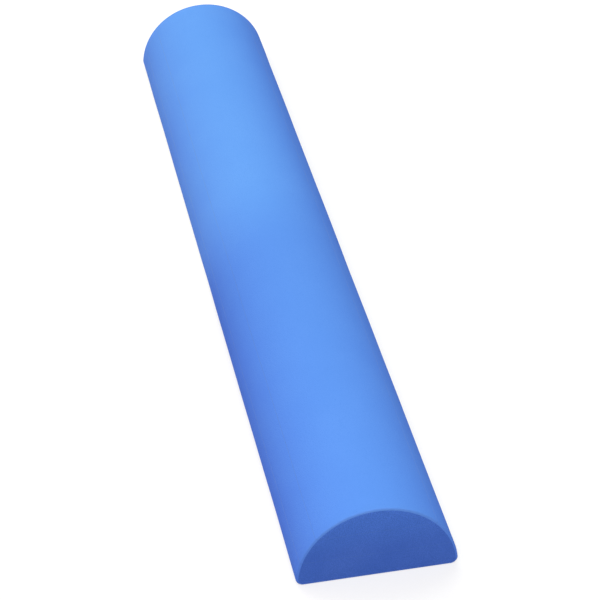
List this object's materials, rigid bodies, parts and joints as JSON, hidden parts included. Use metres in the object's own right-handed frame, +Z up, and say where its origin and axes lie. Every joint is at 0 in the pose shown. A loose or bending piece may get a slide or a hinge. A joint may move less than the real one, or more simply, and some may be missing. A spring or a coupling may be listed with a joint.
{
  "type": "half round foam roller",
  "caption": "Long half round foam roller with a flat base, softly rounded lower edges and eased ends, made as a bonded stack of foam slabs with flush glue joints.",
  "frame": {"origin": "centre of the flat base", "axes": "+Y along the length, towards the end that the picture shows furthest away; +Z up from the flat base to the crown; +X to the right when looking along +Y"},
  "size_m": [0.1492, 1, 0.075],
  "materials": {
    "eva_foam": "ground closed-cell foam, light blue, with a fine pebble and a soft, dull sheen",
    "bond_glue": "cured contact adhesive, slightly darker and glossier than the foam"
  },
  "bodies": {
    "root": {"base_slab": "eva_foam", "middle_slab": "eva_foam", "crown_slab": "eva_foam", "lower_glue_film": "bond_glue", "upper_glue_film": "bond_glue"}
  },
  "joints": []
}
